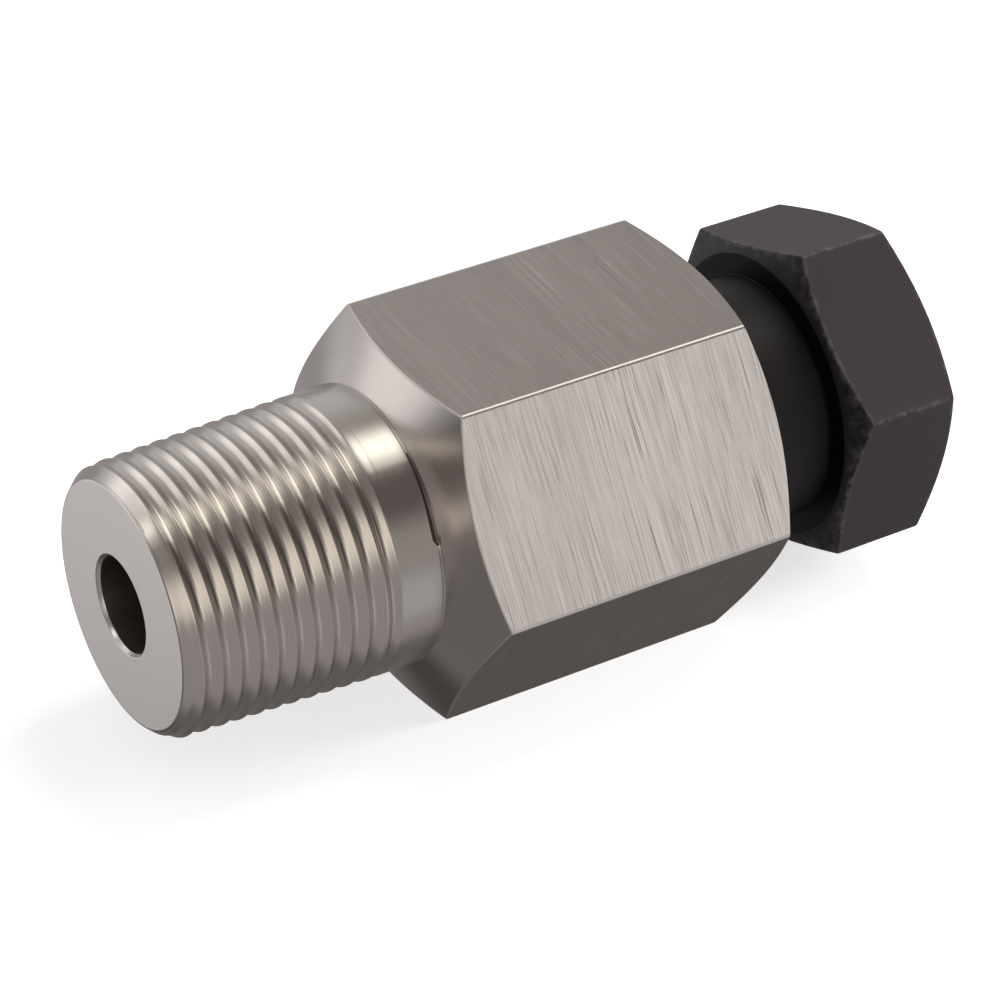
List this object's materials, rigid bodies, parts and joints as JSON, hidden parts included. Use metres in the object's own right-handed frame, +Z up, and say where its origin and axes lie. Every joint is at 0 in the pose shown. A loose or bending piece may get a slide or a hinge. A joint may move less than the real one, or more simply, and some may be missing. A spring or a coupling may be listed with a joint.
{
  "type": "male to female adapter",
  "caption": "Hexagonal metal adapter with a male taper pipe thread at one end and, at the other, a female tube port closed by a coated gland nut.",
  "frame": {"origin": "centre of the whole part's box at the level of the flat that the body lies on", "axes": "+X along the axis from the pipe thread to the gland nut, +Z up out of the body's top flat"},
  "size_m": [0.0812, 0.0402, 0.0349],
  "materials": {
    "stainless_steel": "satin",
    "sleeve_steel": "satin",
    "black_coated_steel": "matte"
  },
  "bodies": {
    "body": {"adapter_body": "stainless_steel"},
    "sleeve_and_washer": {"compression_sleeve": "sleeve_steel", "thrust_washer": "sleeve_steel"},
    "nut": {"gland_nut": "black_coated_steel"}
  },
  "joints": [
    {"name": "sleeve_slide", "type": "slide", "parent": "body", "child": "sleeve_and_washer", "axis": [1, 0, 0], "range_m": [-0.00198, 0.0127]},
    {"name": "nut_turn", "type": "hinge", "parent": "sleeve_and_washer", "child": "nut", "pos_m": [0.02865, 0, 0.01746], "axis": [1, 0, 0], "range_deg": [-450, 2880]}
  ],
  "couplings": [
    {"joint": "nut_turn", "follows": "sleeve_slide", "rad_per_m": 3957.9}
  ]
}
